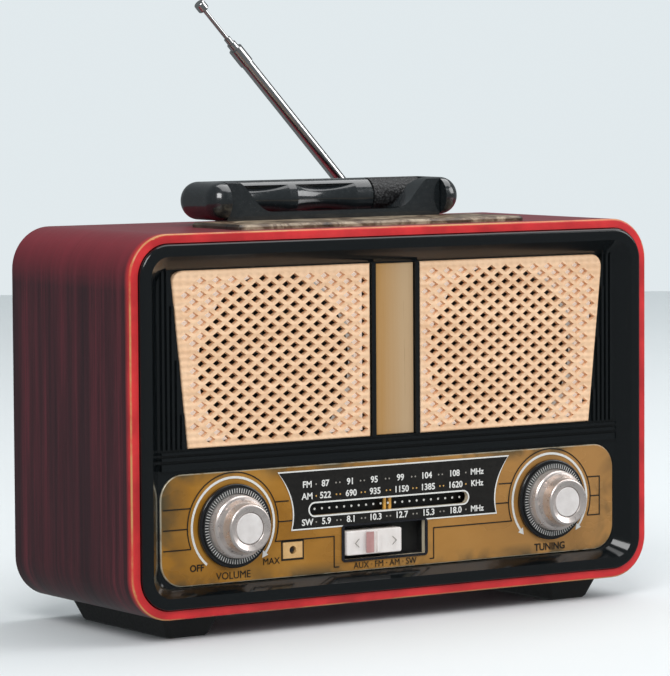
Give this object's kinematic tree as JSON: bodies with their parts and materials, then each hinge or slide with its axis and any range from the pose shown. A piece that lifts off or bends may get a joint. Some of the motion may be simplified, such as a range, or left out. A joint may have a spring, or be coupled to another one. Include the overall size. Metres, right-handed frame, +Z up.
{
  "type": "retro table radio",
  "caption": "Box-shaped table radio with a rounded wooden sleeve, black front, slanted grilles, tuning dial, round knobs, folding handle and telescopic aerial.",
  "frame": {"origin": "on the floor, at the middle of the cabinet width and depth, between the undersides of the feet", "axes": "+Z up, front faces -Y, +X to the right seen from the front"},
  "size_m": [0.25, 0.1108, 0.2508],
  "materials": {
    "sleeve_wrap": "wrapped wood grain, semi-gloss",
    "black_gloss": "gloss",
    "grille_cream": "satin",
    "baffle_felt": "felt",
    "speaker_steel": "satin black",
    "cone_paper": "pressed paper",
    "cap_gloss": "gloss",
    "magnet_steel": "plated",
    "screw_steel": "plated",
    "strip_gold": "satin",
    "dial_gold": "gloss, aged",
    "scale_black": "matte",
    "knob_black": "gloss",
    "ring_silver": "ticked",
    "knob_silver": "satin chrome",
    "inlay_silver": "matt",
    "shaft_metal": "turned",
    "part_black": "matte",
    "drum_white": "satin",
    "cord_fibre": "braided",
    "pointer_amber": "gloss",
    "slider_white": "satin",
    "indicator_beige": "satin",
    "led_clear": "clear",
    "board_brown": "laminate",
    "component_mix": "mixed",
    "ferrite_grey": "matte",
    "copper_coil": "lacquered wire",
    "rear_black": "textured",
    "battery_wrap": "shrink wrap",
    "contact_nickel": "nickel",
    "socket_metal": "nickel",
    "foot_rubber": "matte",
    "top_plate_aged": "aged print",
    "handle_black": "fine satin",
    "sleeve_textured": "stippled",
    "aerial_chrome": "polished"
  },
  "bodies": {
    "cabinet": {"cabinet_shell": "sleeve_wrap", "front_bezel": "black_gloss", "grille_left": "grille_cream", "grille_right": "grille_cream", "speaker_baffles": "baffle_felt", "speaker_baskets": "speaker_steel", "speaker_cones": "cone_paper", "speaker_dust_caps": "cap_gloss", "speaker_magnets": "magnet_steel", "inner_screws": "screw_steel", "centre_strip": "strip_gold", "dial_plate": "dial_gold", "dial_backing": "scale_black", "volume_control": "socket_metal", "tuning_capacitor": "drum_white", "dial_cord": "cord_fibre", "drive_posts": "part_black", "switch_tray": "part_black", "switch_body": "socket_metal", "indicator_frame": "indicator_beige", "indicator_led": "led_clear", "main_board": "board_brown", "board_components": "component_mix", "ferrite_cradles": "part_black", "ferrite_rod": "ferrite_grey", "ferrite_coil": "copper_coil", "rear_panel": "rear_black", "rear_screws": "screw_steel", "battery": "battery_wrap", "battery_contacts": "contact_nickel", "socket_board": "board_brown", "rear_sockets": "socket_metal", "feet": "foot_rubber", "top_plate": "top_plate_aged", "handle_base": "handle_black"},
    "volume_knob": {"volume_knob_skirt": "knob_black", "volume_knob_ring": "ring_silver", "volume_knob_cap": "knob_silver", "volume_knob_inlay": "inlay_silver", "volume_shaft": "shaft_metal"},
    "tuning_knob": {"tuning_knob_skirt": "knob_black", "tuning_knob_ring": "ring_silver", "tuning_knob_cap": "knob_silver", "tuning_knob_inlay": "inlay_silver", "tuning_shaft": "shaft_metal", "dial_drum": "drum_white"},
    "idler": {"cord_idler": "drum_white"},
    "pointer": {"dial_pointer": "pointer_amber"},
    "band_slider": {"band_slider": "slider_white"},
    "battery_door": {"battery_door": "rear_black"},
    "handle": {"handle_arms": "handle_black", "handle_pins": "shaft_metal", "handle_grip": "handle_black", "handle_sleeve": "sleeve_textured"},
    "aerial_swivel": {"aerial_swivel": "aerial_chrome", "aerial_hardware": "aerial_chrome"},
    "aerial_mast": {"aerial_tube": "aerial_chrome"},
    "aerial_second": {"aerial_section_2": "aerial_chrome"},
    "aerial_third": {"aerial_section_3": "aerial_chrome"},
    "aerial_rod": {"aerial_rod": "aerial_chrome"}
  },
  "joints": [
    {"name": "volume_turn", "type": "hinge", "parent": "cabinet", "child": "volume_knob", "pos_m": [-0.0772, -0.0465, 0.0437], "axis": [0, 1, 0], "range_deg": [0, 270]},
    {"name": "tuning_turn", "type": "hinge", "parent": "cabinet", "child": "tuning_knob", "pos_m": [0.0772, -0.0465, 0.0437], "axis": [0, 1, 0], "range_deg": [-90, 90]},
    {"name": "idler_turn", "type": "hinge", "parent": "cabinet", "child": "idler", "pos_m": [-0.062, -0.0315, 0.0575], "axis": [0, 1, 0], "range_deg": [-360, 360]},
    {"name": "pointer_slide", "type": "slide", "parent": "cabinet", "child": "pointer", "axis": [1, 0, 0], "range_m": [-0.0295, 0.0295]},
    {"name": "band_slide", "type": "slide", "parent": "cabinet", "child": "band_slider", "axis": [1, 0, 0], "range_m": [0, 0.012]},
    {"name": "battery_door_off", "type": "slide", "parent": "cabinet", "child": "battery_door", "axis": [0, 1, 0], "range_m": [0, 0.03]},
    {"name": "handle_fold", "type": "hinge", "parent": "cabinet", "child": "handle", "pos_m": [0, 0.0023, 0.1688], "axis": [1, 0, 0], "range_deg": [0, 90]},
    {"name": "aerial_swing", "type": "hinge", "parent": "cabinet", "child": "aerial_swivel", "pos_m": [0.065, 0.0509, 0.144], "axis": [0, 1, 0], "range_deg": [-47, 133]},
    {"name": "aerial_tilt", "type": "hinge", "parent": "aerial_swivel", "child": "aerial_mast", "pos_m": [0.065, 0.0509, 0.144], "axis": [-0.7314, 0, -0.682], "range_deg": [0, 90]},
    {"name": "aerial_pull_2", "type": "slide", "parent": "aerial_mast", "child": "aerial_second", "axis": [-0.682, 0, 0.7314], "range_m": [0, 0.09]},
    {"name": "aerial_pull_3", "type": "slide", "parent": "aerial_second", "child": "aerial_third", "axis": [-0.682, 0, 0.7314], "range_m": [0, 0.09]},
    {"name": "aerial_pull_rod", "type": "slide", "parent": "aerial_third", "child": "aerial_rod", "axis": [-0.682, 0, 0.7314], "range_m": [-0.0155, 0.075]}
  ],
  "couplings": [
    {"joint": "pointer_slide", "follows": "tuning_turn", "m_per_rad": 0.0185},
    {"joint": "idler_turn", "follows": "tuning_turn", "ratio": 3.9362}
  ]
}
